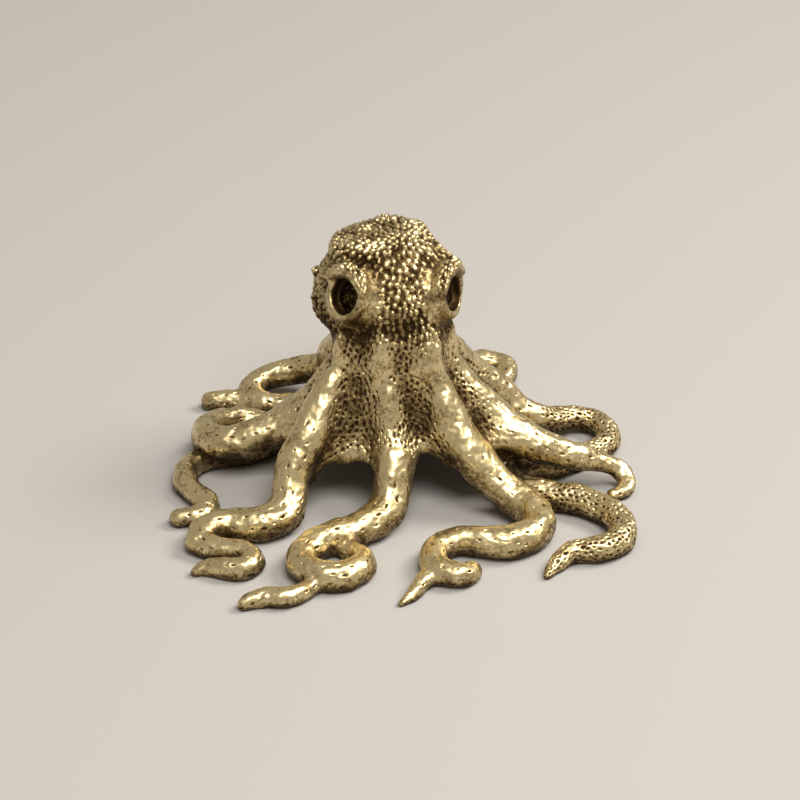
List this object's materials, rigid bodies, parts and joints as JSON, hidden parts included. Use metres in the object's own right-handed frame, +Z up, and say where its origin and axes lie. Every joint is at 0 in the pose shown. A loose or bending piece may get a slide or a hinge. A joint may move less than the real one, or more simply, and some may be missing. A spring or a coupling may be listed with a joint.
{
  "type": "octopus figurine",
  "caption": "Small cast-brass octopus ornament: a warty mantle with deep eye cups on a webbed skirt whose arms curl over the table.",
  "frame": {"origin": "middle of the figure's spread on the surface that it stands on", "axes": "+Z up; -Y the way that the eyes face; +X to the right of someone who looks it in the face"},
  "size_m": [0.0472, 0.048, 0.0268],
  "materials": {
    "antiqued_brass": "cast brass, darkened and rubbed bright on its high places",
    "blackened_brass": "chemically blackened, glossy and rough"
  },
  "bodies": {
    "root": {"mantle": "antiqued_brass", "web_skirt": "antiqued_brass", "arm_front": "antiqued_brass", "arm_front_right": "antiqued_brass", "arm_right": "antiqued_brass", "arm_back_right": "antiqued_brass", "arm_back": "antiqued_brass", "arm_back_left": "antiqued_brass", "arm_left": "antiqued_brass", "arm_front_left": "antiqued_brass", "eye_inlay_left": "blackened_brass", "eye_inlay_right": "blackened_brass"}
  },
  "joints": []
}
